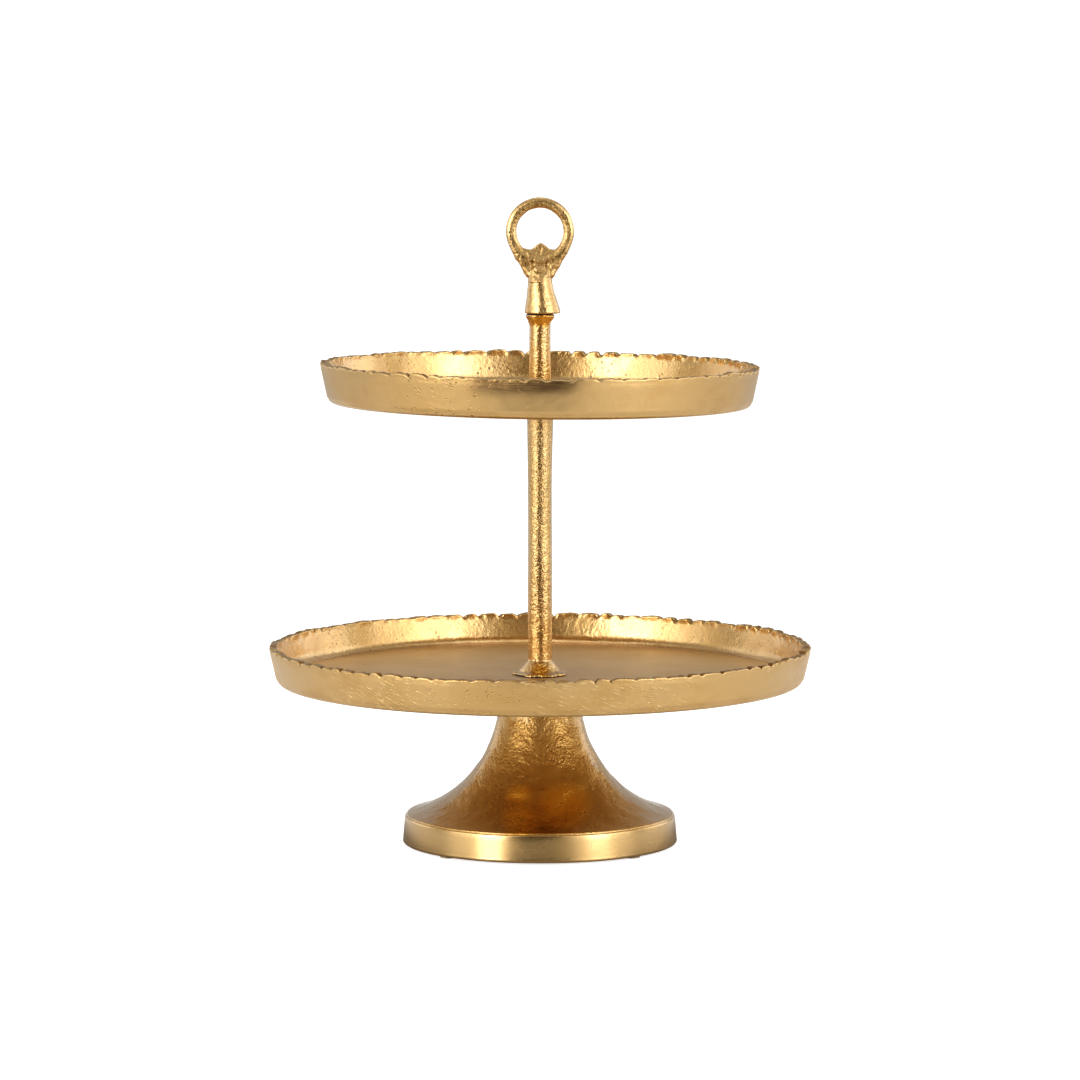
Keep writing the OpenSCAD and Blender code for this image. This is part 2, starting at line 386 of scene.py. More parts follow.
def felt():
    """Short matted fibres: a mottled tan with a fuzzy surface."""
    pad = Finish("felt")
    place = pad.place()
    fibres = pad.grain(place, 0.0006, detail=5.0, rough=0.7)
    cloud = pad.grain(place, 0.004)
    colour = pad.mix(fibres.step(0.35, 0.65), (0.42, 0.34, 0.24, 1), (0.58, 0.49, 0.37, 1))
    normal = pad.bump(fibres + cloud * 0.5, 0.0003)
    return pad.metal(colour, 0.9 + 0.08 * cloud, normal, {"Sheen Weight": 0.4})


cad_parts["felt_pads"].data.materials.clear()
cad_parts["felt_pads"].data.materials.append(felt())

# ---------------------------------------------------------------- bolt and its washers
# A zinc plated M6 bolt with a hexagon head comes up from inside the foot. It clamps a
# split spring washer and a flat washer against the foot's boss.


def zinc():
    """Bright zinc plating: cool grey, faintly clouded, with a fine rolled grain."""
    plate = Finish("zinc_steel")
    place = plate.place()
    cloud = plate.grain(place, 0.004, detail=4.0)
    colour = plate.mix(cloud.step(0.4, 0.65), (0.56, 0.57, 0.60, 1), (0.40, 0.40, 0.40, 1))
    normal = plate.bump(plate.grain(place, 0.0007), 0.00003)
    return plate.metal(colour, 0.24 + 0.3 * cloud, normal, {"Metallic": 1.0})


THREAD_R = 2.98
THREAD_DEEP = 0.55
PITCH = 1.0
THREAD_STEPS = 28        # facets in one turn


def threaded_rod(low, high):
    """A rod from low to high, in metres, with a real helical thread and flat ends."""
    turns = math.ceil((high - low) / MM / PITCH) + 2
    rod = bmesh.new()
    start = low - PITCH * MM
    root_r, crest_r = THREAD_R - THREAD_DEEP, THREAD_R - 0.06
    section = [(root_r, 0), (crest_r, 0.42), (crest_r, 0.56), (root_r, 1)]
    rows = [rod.verts.new((r * MM, 0, start + z * PITCH * MM)) for r, z in section]
    edges = [rod.edges.new(pair) for pair in zip(rows, rows[1:])]
    bmesh.ops.spin(
        rod, geom=rows + edges, cent=(0, 0, 0), axis=(0, 0, 1), angle=2 * math.pi * turns,
        dvec=(0, 0, PITCH * MM / THREAD_STEPS), steps=THREAD_STEPS * turns,
    )
    bmesh.ops.remove_doubles(rod, verts=rod.verts, dist=2e-6)
    for height, up in ((low, -1), (high, 1)):
        whole = rod.verts[:] + rod.edges[:] + rod.faces[:]
        cut = bmesh.ops.bisect_plane(
            rod, geom=whole, dist=1e-7, plane_co=(0, 0, height), plane_no=(0, 0, up),
            clear_outer=True,
        )
        rim = [item for item in cut["geom_cut"] if isinstance(item, bmesh.types.BMEdge)]
        bmesh.ops.contextual_create(rod, geom=rim)
    bmesh.ops.remove_doubles(rod, verts=rod.verts, dist=5e-6)
    bmesh.ops.recalc_face_normals(rod, faces=rod.faces)
    return rod


HEX_TALL = 4.0
bolt_low, bolt_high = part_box("base_bolt")
head_r = (bolt_high.x - bolt_low.x) / 2
bolt_shape = threaded_rod(bolt_low.z + (HEX_TALL - 0.4) * MM, bolt_high.z)
middle_of_head = Matrix.Translation((0, 0, bolt_low.z + HEX_TALL * MM / 2))
head = bmesh.ops.create_cone(
    bolt_shape, cap_ends=True, segments=6, radius1=head_r, radius2=head_r, depth=HEX_TALL * MM,
    matrix=middle_of_head @ Matrix.Rotation(math.pi / 6, 4, "Z"),
)
head_edges = list({edge for vert in head["verts"] for edge in vert.link_edges})
bmesh.ops.bevel(
    bolt_shape, geom=head_edges, offset=0.35 * MM, segments=2, affect="EDGES", profile=0.5,
    material=-1,
)
zinc_steel = zinc()
bolt = finished("hex_bolt", bolt_shape, [zinc_steel], "foot", ["base_bolt"])
for face in bolt.data.polygons:
    face.use_smooth = False
for name in ("spring_washer", "base_washer"):
    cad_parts[name].data.materials.clear()
    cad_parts[name].data.materials.append(zinc_steel)

# ---------------------------------------------------------------- lower tray
# A shallow dish, cast in sand, with a wall that leans out. The wall's outside is ground
# and brushed, its inside keeps the sand's skin, and its rim is left torn and chipped.


def around(finish, radius):
    """Places on a round wall laid out flat: along it, up it, and zero; in metres."""
    x, y, z = finish.split(finish.place())
    angle = finish.node("ShaderNodeMath", {"operation": "ARCTAN2"}, {0: x, 1: 0 - y})
    return finish.node("ShaderNodeCombineXYZ", {}, {"X": angle * radius, "Y": z})


def brushed_gold(name, radius, stroked, pitted_and_shaded, painted_shade):
    """A ground wall: level brushing, slanting file strokes in patches painted brighter as a painted
    highlight, pits and smudges, and painted shade.

    The first two lists give (place along the wall, half width) of patches, in metres from the
    front: where the strokes are, and where the wall is pitted and darker. The third adds the
    heights between which a patch of painted shade fades in."""
    wall = Finish(name)
    flat = around(wall, radius)
    along, up, _ = wall.split(flat)
    brushing = wall.grain(wall.mapped(flat, scale=(1, 22, 1)), 0.014, detail=5.0, rough=0.7)
    slanted = wall.mapped(wall.mapped(flat, turn=(0, 0, math.radians(20))), scale=(1, 8, 1))
    strokes = wall.grain(slanted, 0.0070, detail=1.0).step(0.59, 0.66)
    patch = wall.grain(wall.mapped(flat, shift=(0.37, 0.2, 0)), 0.05, detail=2.0).step(0.60, 0.68)
    for centre, half in stroked:
        patch = patch.bigger(along.near(centre, half))
    pits_and_shade = wall.grain(wall.mapped(flat, shift=(0.7, 0.33, 0)), 0.03, detail=3.0).step(0.58, 0.68)
    for centre, half in pitted_and_shaded:
        pits_and_shade = pits_and_shade.bigger(along.near(centre, half))
    worn = wall.grain(flat, 0.006, detail=2.0).step(0.42, 0.6)
    nearest = wall.spots(wall.mapped(flat, scale=(1, 1.6, 1)), 0.0026)
    pits = (1 - nearest.step(0.10, 0.34)) * pits_and_shade * worn
    smudge = wall.grain(wall.mapped(flat, shift=(0.1, 0.6, 0), scale=(1, 2.2, 1)), 0.04, detail=5.0)
    colour = wall.mix(smudge.step(0.48, 0.70) * 0.55, GOLD, DEEP_GOLD)
    # the pitted patches are painted darker; at the front of the lower tray this is painted shade
    colour = wall.mix(pits_and_shade * 0.35, colour, DEEP_GOLD)
    # the file strokes are painted brighter: a painted highlight along them
    colour = wall.mix(strokes * patch * 0.5, colour, HIGHLIGHT_GOLD)
    # patches of painted shade, streaked along the brushing
    for centre, half, low, high in painted_shade:
        streaks = 0.65 + 0.35 * brushing.step(0.4, 0.6)
        dark = along.near(centre, half) * up.step(low, high) * streaks
        colour = wall.mix(dark * 0.9, colour, SHADE_AND_STAIN)
    colour = wall.mix(pits * 0.35, colour, SHADE_AND_STAIN)
    rough = 0.30 + 0.14 * smudge.step(0.35, 0.7) + 0.1 * brushing - 0.06 * strokes * patch
    lumps_under = wall.grain(flat, 0.012, detail=2.0)
    height = brushing * 0.12 + strokes * patch * 0.5 - pits * 0.9 + lumps_under * 1.4
    normal = wall.bump(height, 0.0003)
    return wall.metal(colour, rough, normal, SATIN)


def satin_gold(name):
    """A tray's floor: dull satin, a little browner, with fine scratches from use."""
    floor = Finish(name)
    place = floor.place()
    scratches = None
    for turn, shift in ((0.35, 0.1), (1.2, 0.5), (2.3, 0.8)):
        turned = floor.mapped(place, turn=(0, 0, turn), shift=(shift, 0, 0))
        drawn_out = floor.mapped(turned, scale=(1, 26, 1))
        mark = floor.grain(drawn_out, 0.03, detail=2.0).step(0.60, 0.68)
        scratches = mark if scratches is None else scratches.bigger(mark)
    cloud = floor.grain(place, 0.035, detail=5.0)
    fine = floor.grain(place, 0.0016, detail=3.0)
    colour = floor.mix(cloud.step(0.4, 0.7) * 0.6, GOLD, DEEP_GOLD)
    rough = 0.40 + 0.14 * cloud - 0.06 * scratches
    normal = floor.bump(fine * 0.5 + cloud * 1.5 - scratches * 0.35, 0.00012)
    return floor.metal(colour, rough, normal, SATIN)


class TornRim:
    """Scallops along a rim with a V notch between each two, all of different sizes."""

    def __init__(self, seed, length, narrow, wide):
        chance = random.Random(seed)
        self.length = length
        self.at = [0.0]
        while self.at[-1] < length - wide * 1.5:
            self.at.append(self.at[-1] + chance.uniform(narrow, wide))
        self.at.append(length)
        self.depth = [chance.uniform(0.15, 1.0) for _ in self.at]
        self.half = [chance.uniform(1.1, 2.3) for _ in self.at]
        self.height = [chance.uniform(0.3, 1.0) for _ in self.at]
        self.depth[-1], self.half[-1] = self.depth[0], self.half[0]

    def tear(self, along):
        """The scallop's height and the notch's depth at a place along the rim, from 0 to 1."""
        along %= self.length
        i = min(bisect.bisect_right(self.at, along), len(self.at) - 1) - 1
        share = (along - self.at[i]) / (self.at[i + 1] - self.at[i])
        scallop = self.height[i] * math.sin(math.pi * share ** 0.75) ** 0.7
        notch = max(0.0, self.depth[i] * (1 - (along - self.at[i]) / self.half[i]))
        notch = max(notch, self.depth[i + 1] * (1 - (self.at[i + 1] - along) / self.half[i + 1]))
        return scallop, notch


LEAN = 4.2               # the wall is this much wider at the rim, on the radius
WALL = 4.3
FLOOR = 3.6
TRAY_CORNER = 3.0        # rounding under the wall
TRAY_FILLET = 6.0        # rounding between floor and wall


def tray_outline(rim_r, tall):
    """A tray's section: underside, wall, rim, wall inside, floor and the bolt's hole."""
    base_r = rim_r - LEAN
    slope = LEAN / tall
    points = line((BOLT_HOLE_R, 0), (base_r - TRAY_CORNER, 0), 12)
    points += arc((base_r - TRAY_CORNER, TRAY_CORNER), (TRAY_CORNER, TRAY_CORNER), -90, -8, 6)
    points += line((base_r + slope * 3.2, 3.2), (rim_r - 0.45, tall - 4.0), 9)
    points += line((rim_r - 0.45, tall - 4.0), (rim_r - 0.05, tall - 0.7), 5)
    points += arc((rim_r - 0.7, tall - 0.7), (0.65, 0.7), 5, 80, 3)
    points += line((rim_r - 0.9, tall), (rim_r - WALL + 0.9, tall), 5)
    points += arc((rim_r - WALL + 0.7, tall - 0.7), (0.65, 0.7), 100, 175, 3)
    angle = math.atan(slope)
    touch = FLOOR + TRAY_FILLET * (1 - math.sin(angle))
    inner_r = base_r - WALL + slope * touch
    points += line((rim_r - WALL, tall - 1.2), (inner_r, touch), 11)
    centre = (inner_r - TRAY_FILLET * math.cos(angle), FLOOR + TRAY_FILLET)
    points += arc(centre, (TRAY_FILLET, TRAY_FILLET), -math.degrees(angle), -90, 8)
    points += line((centre[0] - 1.5, FLOOR), (BOLT_HOLE_R, FLOOR), 20)
    points.append((BOLT_HOLE_R, FLOOR))
    return points


def cast_tray(node, steps, seed, dent, tilt):
    """A tray the size of its CAD node, with its rim's radius, its height and its underside's.

    dent is (angle, half width, depth) of a knock in the rim; tilt is its fall along x."""
    low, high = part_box(node)
    base = low.z / MM
    rim_r = (high.x - low.x) / 2 / MM - 0.3
    tall = (high.z - low.z) / MM
    rim_length = 2 * math.pi * rim_r
    shape = turn_on_lathe([(r, z + base) for r, z in tray_outline(rim_r, tall)], steps)
    scallops = TornRim(seed, rim_length, 7.5, 15.0)
    nicks = TornRim(seed + 1, rim_length, 4.0, 9.0)
    torn = shape.verts.layers.float.new("torn")
    for vert in shape.verts:
        place = vert.co.copy()
        r, up = place.xy.length / MM, place.z / MM - base
        wall_r = rim_r - LEAN + LEAN * up / tall
        inward = min(1.0, max(0.0, (wall_r - r) / WALL))
        if r < wall_r - WALL - 1.0 and up < tall - 6:
            # floor and underside: level, with soft swells in the cast floor
            if up > 1 and r > 20:
                vert.co.z += 0.22 * lumps(place, 38, seed) * MM * ease(r, 20, 40)
            continue
        outward = Vector((place.x, place.y, 0)).normalized()
        ring = Vector((place.x, place.y, 0))
        # the whole wall: slow waves outside, soft pebbles inside
        moved = 0.28 * lumps(place, 60, seed + 3) + 0.07 * lumps(place, 16, seed + 4)
        if inward > 0.5:
            pebble = 0.08 * lumps(place, 13, seed + 5) + 0.03 * lumps(place, 5, seed + 6)
            moved += pebble * ease(inward, 0.5, 0.95) * ease(up, FLOOR - 1, FLOOR + 3)
        if up > tall - 10:
            # the torn rim, boldest at the back and plainest at the front
            angle = math.atan2(place.y, place.x)
            along = (angle + math.pi) * rim_r + 0.9 * lumps(place, 5, seed + 7)
            bold = 0.42 + 0.45 * ease(math.cos(angle - 0.7), 0.0, 0.8)
            bold += 0.5 * ease(lumps(ring, 48, seed + 2), -0.2, 0.3)
            at_rim = ease(up, tall - 2.4, tall - 0.2)
            scallop, notch = scallops.tear(along)
            nick = nicks.tear(along + 4)[1] * 0.6
            crumble = 0.26 * lumps(place, 2.4, seed + 9) + 0.10 * lumps(place, 1.2, seed + 10)
            swell = 0.75 * lumps(ring, 24, seed + 11) * ease(up, tall - 10, tall)
            rise_in = 1.1 * scallop - 0.3 - 1.6 * notch - 1.3 * nick
            rise_out = 1.7 * scallop - 0.9 - 1.5 * notch
            rise = rise_in * inward ** 1.2 + rise_out * (1 - inward) ** 0.7
            vert.co.z += (swell + (crumble + rise * bold) * at_rim) * MM
            lip = 1.5 * notch + 0.7 * nick - 0.9 * scallop + 0.5 * lumps(place, 7, seed + 12)
            moved += lip * bold * ease(inward, 0.35, 1.0) * ease(up, tall - 3.0, tall - 0.4)
            moved += (0.4 * scallop - 0.6 * notch) * bold * at_rim * (1 - inward)
            # painted shade in the notches and nicks, and a plain darkening along the middle of the
            # rim's top, go into the layer of marks
            crevice = max(notch, nick) * bold * ease(abs(inward - 0.6), 0.5, 0.3)
            rim_top_dark = 0.22 + 0.45 * ease(lumps(place, 4, seed + 13), -0.1, 0.25)
            crevice += rim_top_dark * ease(abs(inward - 0.5), 0.5, 0.2)
            vert[torn] = min(0.75, crevice) * at_rim
            if dent:
                turn = math.remainder(angle - math.radians(dent[0]), 2 * math.pi) * rim_r / dent[1]
                pushed = math.exp(-turn ** 4) * ease(up, tall - 7.5, tall + 1.5)
                moved -= dent[2] * pushed
                vert.co.z -= 0.35 * dent[2] * pushed * MM * (1 - 0.5 * inward)
        vert.co += outward * moved * MM
    for vert in shape.verts:
        vert.co.z += tilt * vert.co.x * ease(vert.co.xy.length / MM, 26, 60)
    return shape, rim_r, tall, base


def tray_faces(shape, rim_r, tall, base):
    """Outside of the wall 0, rim and inside of the wall 1, floor and underside 2."""
    for face in shape.faces:
        centre = face.calc_center_median()
        r, up = centre.xy.length / MM, centre.z / MM - base
        wall_r = rim_r - LEAN + LEAN * up / tall
        under = face.normal.z < -0.8 and r < rim_r - 4
        if under or r < rim_r - LEAN - WALL - TRAY_FILLET + 2:
            face.material_index = 2
        elif r < wall_r - 0.9 or face.normal.z > 0.6:
            face.material_index = 1
        else:
            face.material_index = 0


def tray_finishes(name, rim_r, stroked, pitted_and_shaded, painted_shade):
    """The three finishes of a tray, in the order that tray_faces gives."""
    return [
        brushed_gold(name + "_brushed", rim_r * MM, stroked, pitted_and_shaded, painted_shade),
        inner_gold,
        floor_gold,
    ]


inner_gold = cast_gold(
    "inner_gold", pebble=0.0019, depth=0.00022, pit=0.0036, rough_low=0.24, rough_high=0.34,
    torn=True,
)
floor_gold = satin_gold("floor_gold")
tray_shape, tray_r, tray_tall, tray_base = cast_tray(
    "lower_tray", steps=900, seed=21, dent=None, tilt=0.0,
)
tray_faces(tray_shape, tray_r, tray_tall, tray_base)
# the pitted patch at the front is painted darker: painted shade
finishes = tray_finishes(
    "lower_tray", tray_r, stroked=[(-0.095, 0.05), (0.04, 0.055)], pitted_and_shaded=[(-0.02, 0.035)],
    painted_shade=[],
)
finished("large_tray", tray_shape, finishes, "lower_tray", ["lower_tray"])

# ---------------------------------------------------------------- tray washers
# Thin black rubber rings sit between each tray and the post on it, out of sight. A third
# one shows as a dark line under the handle's bell.


def rubber():
    """Matt black rubber with a faint moulded grain."""
    ring = Finish("soft_washer")
    grain = ring.grain(ring.place(), 0.0009, detail=4.0)
    colour = ring.mix(grain.step(0.3, 0.7), (0.012, 0.011, 0.010, 1), (0.035, 0.032, 0.03, 1))
    return ring.metal(colour, 0.62 + 0.2 * grain, ring.bump(grain, 0.00005), {})


black_rubber = rubber()
for name in ("lower_tray_washer", "upper_tray_washer", "handle_washer"):
    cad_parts[name].data.materials.clear()
    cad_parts[name].data.materials.append(black_rubber)

# ---------------------------------------------------------------- tall post
# The lower post is a slim cast stem. It flares into a ragged skirt where it stands on the
# tray, thickens towards its top, and is tapped at both ends for the bolt and the stud.

TAPPED_R = 3.05
TAPPED_DEEP = 13.0
DROOP = 0.7              # how far the skirt's edge hangs over the washer
RAGGED = 1.0             # how far the skirt's edge wanders in and out
ROW_GAP = 0.85           # height of one row of faces on the shank


def cast_post(node, washer_r, shank, skirt_r, skirt_tall, top, seed):
    """A post the size of its CAD node. shank and top are lists of (radius, height)."""
    low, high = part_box(node)
    base, tall = low.z / MM, (high.z - low.z) / MM
    foot_shank = shank[0][0]
    outline = [(TAPPED_R, 0)] + line((TAPPED_R + 2, 0), (skirt_r - 0.5, 0), 5)
    outline += arc((skirt_r - 0.5, 0.25), (0.5, 0.25), -90, 0, 3)
    skirt = [(skirt_r, 0.25), (skirt_r - 3.2, 1.5), (skirt_r - 6.0, skirt_tall - 2.2)]
    skirt.append((foot_shank + 1.0, skirt_tall - 0.7))
    for start, end in zip(skirt, skirt[1:] + [shank[0]]):
        outline += line(start, end, 5)
    rows = shank + top
    for start, end in zip(rows, rows[1:]):
        outline += line(start, end, max(1, round(math.dist(start, end) / ROW_GAP)))
    outline += [rows[-1], (TAPPED_R, rows[-1][1])]
    outline += line((TAPPED_R, tall), (TAPPED_R, tall - TAPPED_DEEP), 3)
    outline += [(TAPPED_R, tall - TAPPED_DEEP), (0, tall - TAPPED_DEEP - 1)]
    outline += [(0, TAPPED_DEEP + 1), (TAPPED_R, TAPPED_DEEP)]
    shape = turn_on_lathe([(r, z + base) for r, z in outline], steps=96)
    for vert in shape.verts:
        place = vert.co.copy()
        r, up = place.xy.length / MM, place.z / MM - base
        if r < TAPPED_R + 0.5:
            continue
        outward = Vector((place.x, place.y, 0)).normalized()
        clear = ease(up, 0.2, 1.5) * ease(up, tall - 0.1, tall - 1.5)
        skin = 0.06 * lumps(place, 7, seed) + 0.045 * lumps(place, 2.6, seed + 1)
        sandy = 0.5 * lumps(place, 3, seed + 7) + 0.3 * lumps(place, 1.4, seed + 8)
        skin += sandy * ease(up, tall - 7, tall - 4.5)
        long_place = Vector((place.x, place.y, place.z * 0.12))
        skin += 0.24 * lumps(long_place, 7, seed + 3)
        at_edge = outward * 0.012
        ragged = 2.4 * lumps(at_edge, 5.5, seed + 4) + 1.0 * lumps(at_edge, 2.2, seed + 5)
        share = ease(r, foot_shank + 3, skirt_r) * ease(up, skirt_tall + 2, 1)
        vert.co += outward * ((skin * clear + ragged * share) * MM)
        crease = 0.9 * lumps(at_edge, 4, seed + 6) + 0.3 * lumps(place, 2, seed + 9)
        vert.co.z += crease * share * clear * MM
        # the skirt's edge droops over the washer, down to the tray
        vert.co.z -= DROOP * ease(r, washer_r, washer_r + 0.8) * ease(up, 3, 0) * MM
    return shape


post_low, post_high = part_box("lower_post")
post_tall = (post_high.z - post_low.z) / MM
tall_shank = [(6.9, 7.6), (6.85, 108), (7.1, 128), (7.5, post_tall - 9)]
tall_top = [(8.0, post_tall - 5), (9.6, post_tall - 1.6), (10.2, post_tall - 0.8)]
tall_top.append((10.0, post_tall))
# amber glows painted on the front of the lower skirt and in the cup, a painted reflection, in
# metres: (across, up, half width)
PAINTED_POST_GLOWS = [(0.0, 0.1005, 0.006), (0.001, 0.3005, 0.008)]
stem_gold = cast_gold(
    "stem_gold", pebble=0.0015, depth=0.00048, pit=0.0026, rough_low=0.12, rough_high=0.18,
    glows=PAINTED_POST_GLOWS,
)
tall_post = cast_post(
    "lower_post", washer_r=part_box("lower_tray_washer")[1].x / MM, shank=tall_shank,
    skirt_r=post_high.x / MM - RAGGED, skirt_tall=7.2, top=tall_top, seed=41,
)
finished("tall_post", tall_post, [stem_gold], "lower_post", ["lower_post"])

# ---------------------------------------------------------------- upper tray
# The smaller tray is cast and ground like the lower one. Its rim was knocked in at the
# front, and it sits a touch out of level.

tray_shape, tray_r, tray_tall, tray_base = cast_tray(
    "upper_tray", steps=760, seed=63, dent=(-93.5, 26, 1.7), tilt=-0.012,
)
tray_faces(tray_shape, tray_r, tray_tall, tray_base)
top = (tray_base + tray_tall) * MM
# painted shade under the knocked-in rim, fading in between two heights
dent_shade = (-0.009, 0.036, top - 0.012, top - 0.0035)
finishes = tray_finishes(
    "upper_tray", tray_r, stroked=[], pitted_and_shaded=[(-0.06, 0.04)], painted_shade=[dent_shade],
)
finished("small_tray", tray_shape, finishes, "upper_tray", ["upper_tray"])

# ---------------------------------------------------------------- short post and its stud
# The upper post stands on the upper tray. A stud fixed in its foot passes through the
# tray into the tall post, and its top opens into a cup under the handle.

short_low, short_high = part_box("upper_post")
short_tall = (short_high.z - short_low.z) / MM
short_shank = [(6.4, 5.6), (6.05, 24), (6.0, short_tall - 6.6)]
short_top = [(6.2, short_tall - 5.0), (6.9, short_tall - 3.4), (7.8, short_tall - 1.8)]
short_top += [(8.35, short_tall - 0.5), (8.1, short_tall)]
short_post = cast_post(
    "upper_post", washer_r=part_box("upper_tray_washer")[1].x / MM, shank=short_shank,
    skirt_r=short_high.x / MM - RAGGED, skirt_tall=5.0, top=short_top, seed=57,
)
finished("short_post", short_post, [stem_gold], "upper_post", ["upper_post"])

stud_low, stud_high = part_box("middle_stud")
stud_shape = threaded_rod(stud_low.z, stud_high.z)
finished("tray_stud", stud_shape, [zinc_steel], "upper_post", ["middle_stud"])

# ---------------------------------------------------------------- handle
# Ring, torn web and bell are one casting. The ring's outside and the bell are polished,
# and the web between them is left lumpy, with sinks. A stud fixed in the bell screws
# into the short post.

RING_TUBE = 3.05
TUBE_FACETS = 20
GRIP_NECK_Z = 21.0       # the narrowest place, between bell and web
GRIP_NECK_R = 6.2
BELL_R = 10.35
BELL_SHIFT = 1.45        # the bell was cast a little to one side

grip_low, grip_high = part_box("handle")
grip_base = grip_low.z / MM
ring_r = (grip_high.x - grip_low.x) / 2 / MM - RING_TUBE
ring_z = (grip_high.z - grip_low.z) / MM - ring_r - RING_TUBE
grip = bmesh.new()

# ring: a round section swept about the ring's own axis
section = bmesh.ops.create_circle(grip, segments=TUBE_FACETS, radius=RING_TUBE * MM)["verts"]
bmesh.ops.rotate(grip, verts=section, cent=(0, 0, 0), matrix=Matrix.Rotation(math.pi / 2, 3, "Z"))
bmesh.ops.translate(grip, verts=section, vec=(ring_r * MM, 0, 0))
hoop = list({edge for vert in section for edge in vert.link_edges})
bmesh.ops.spin(
    grip, geom=section + hoop, cent=(0, 0, 0), axis=(0, 1, 0), angle=2 * math.pi, steps=72,
    use_merge=True,
)
bmesh.ops.translate(grip, verts=grip.verts, vec=(0, 0, ring_z * MM))

# legs: from the ring's sides down into the neck
for side in (-1, 1):
    top = Vector((side * 14.9, 0, ring_z - 7.2))
    bottom = Vector((side * 4.6, 0, GRIP_NECK_Z + 0.5))
    along = top - bottom
    turn = along.to_track_quat("Z", "Y").to_matrix().to_4x4()
    bmesh.ops.create_cone(
        grip, cap_ends=True, segments=TUBE_FACETS, radius1=3.0 * MM, radius2=2.9 * MM,
        depth=along.length * MM, matrix=Matrix.Translation((top + bottom) / 2 * MM) @ turn,
    )

# web: fills the fork between the legs up to a peak with a notch on either side
WEB_THICK = 4.6
web = [(5.2, 19), (8.6, 27), (12.5, 32.6), (14.3, 37.6), (11.2, 36.9), (8.0, 35.9), (5.2, 36.5)]
web += [(2.4, 38.9), (0.2, 39.9), (-1.9, 38.6), (-4.0, 36.6), (-6.0, 35.9), (-9.4, 37.0)]
web += [(-13.6, 38.0), (-12.5, 32.6), (-8.6, 27), (-5.2, 19)]
rows = [grip.verts.new((x * MM, -WEB_THICK / 2 * MM, z * MM)) for x, z in web]
plate = grip.faces.new(rows)
thick = bmesh.ops.extrude_face_region(grip, geom=[plate])["geom"]
bmesh.ops.translate(
    grip, verts=[item for item in thick if isinstance(item, bmesh.types.BMVert)],
    vec=(0, WEB_THICK * MM, 0),
)

# bell: turned, then leant over to one side
bell = [(0, 0), (BELL_R - 0.5, 0), (BELL_R, 0.4), (BELL_R - 0.3, 1.6)]
bell += [(9.55, 4), (8.75, 7.5), (7.95, 11), (7.3, 14.5), (6.75, 18), (GRIP_NECK_R, GRIP_NECK_Z)]
bell += [(6.0, GRIP_NECK_Z + 3), (4.6, GRIP_NECK_Z + 6), (0, GRIP_NECK_Z + 7)]
rows = [grip.verts.new((r * MM, 0, z * MM)) for r, z in bell]
edges = [grip.edges.new(pair) for pair in zip(rows, rows[1:])]
bmesh.ops.spin(
    grip, geom=rows + edges, cent=(0, 0, 0), axis=(0, 0, 1), angle=2 * math.pi, steps=48,
    use_merge=True,
)
bmesh.ops.remove_doubles(grip, verts=grip.verts, dist=1e-6)
bmesh.ops.recalc_face_normals(grip, faces=grip.faces)
for vert in grip.verts:
    share = 1 - ease(vert.co.z / MM, 0, GRIP_NECK_Z - 2)
    vert.co.x += BELL_SHIFT * share * MM


def cast_together(name, shells, voxel):
    """Melts overlapping shells into one even skin, as one pour of metal would."""
    rough_mesh = bpy.data.meshes.new(name + "_shells")
    shells.to_mesh(rough_mesh)
    shells.free()
    holder = bpy.data.objects.new(name + "_shells", rough_mesh)
    bpy.context.scene.collection.objects.link(holder)
    remesh = holder.modifiers.new("one skin", "REMESH")
    remesh.mode = "VOXEL"
    remesh.voxel_size = voxel
    graph = bpy.context.evaluated_depsgraph_get()
    skin = bpy.data.meshes.new_from_object(holder.evaluated_get(graph))
    bpy.data.objects.remove(holder)
    melted = bmesh.new()
    melted.from_mesh(skin)
    bpy.data.meshes.remove(skin)
    bpy.data.meshes.remove(rough_mesh)
    return melted


grip = cast_together("ring_grip", grip, voxel=0.34 * MM)
for _ in range(6):
    bmesh.ops.smooth_vert(
        grip, verts=grip.verts, factor=0.5, use_axis_x=True, use_axis_y=True, use_axis_z=True,
    )
grip.normal_update()
